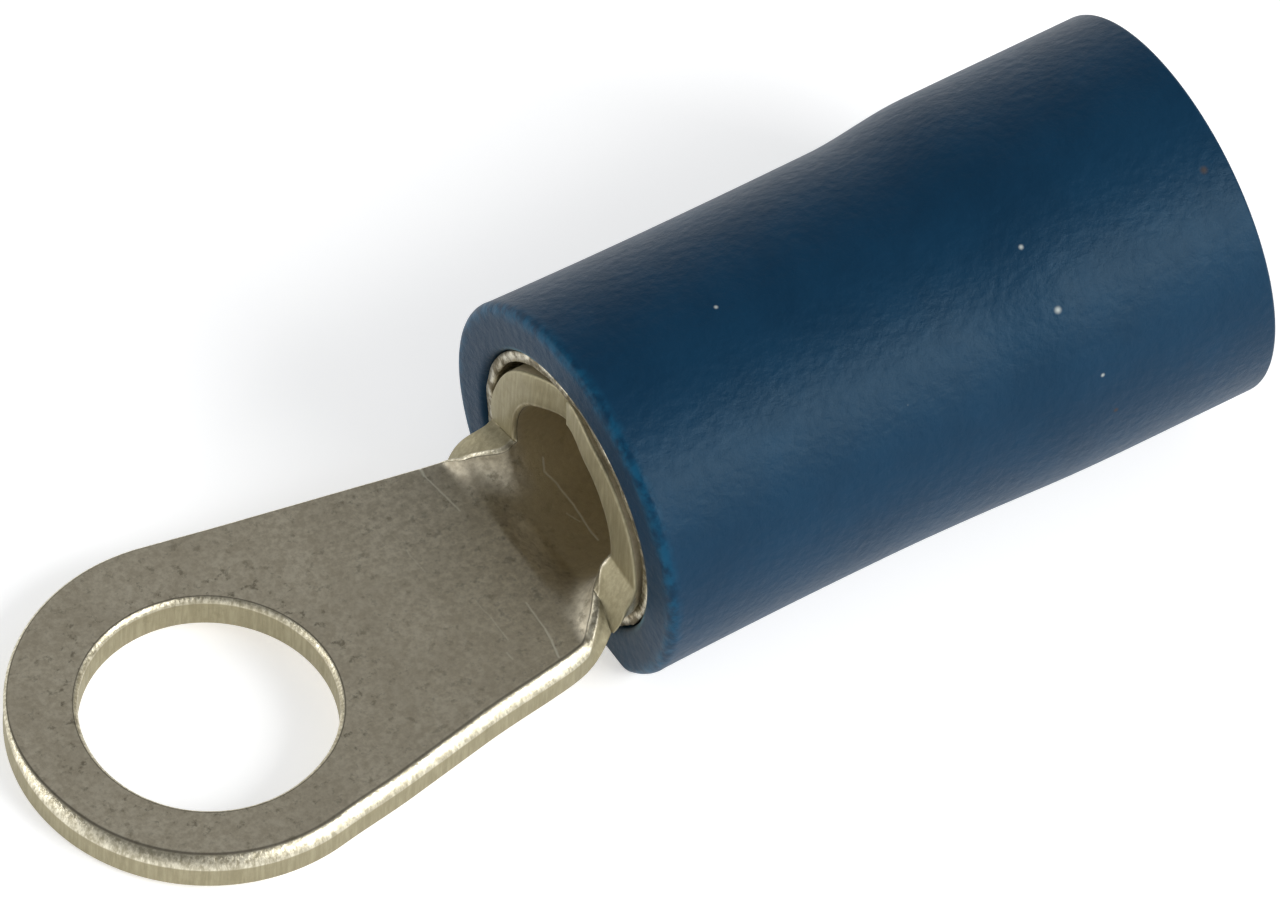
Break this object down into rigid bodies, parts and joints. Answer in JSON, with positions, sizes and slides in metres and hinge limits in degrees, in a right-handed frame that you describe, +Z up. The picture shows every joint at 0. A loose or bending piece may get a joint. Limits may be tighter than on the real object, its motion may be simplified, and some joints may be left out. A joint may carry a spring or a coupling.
{
  "type": "ring terminal",
  "caption": "Insulated crimp ring terminal: a flat stud ring on a rolled wire barrel, with a metal support sleeve and a blue plastic insulating sleeve.",
  "frame": {"origin": "centre of the stud hole, on the underside of the ring tongue", "axes": "+Z up the stud axis, +X along the wire barrel towards the wire entry"},
  "size_m": [0.0421, 0.0132, 0.0132],
  "materials": {
    "tinned_copper": "dull tin plating with fine stains, sheared edges brighter",
    "sleeve_metal": "dull tinned metal with a rough sheared end",
    "blue_vinyl": "dark petrol blue, fine leathery grain, soft sheen"
  },
  "bodies": {
    "root": {"terminal": "tinned_copper", "support_sleeve": "sleeve_metal", "insulating_sleeve": "blue_vinyl"}
  },
  "joints": []
}
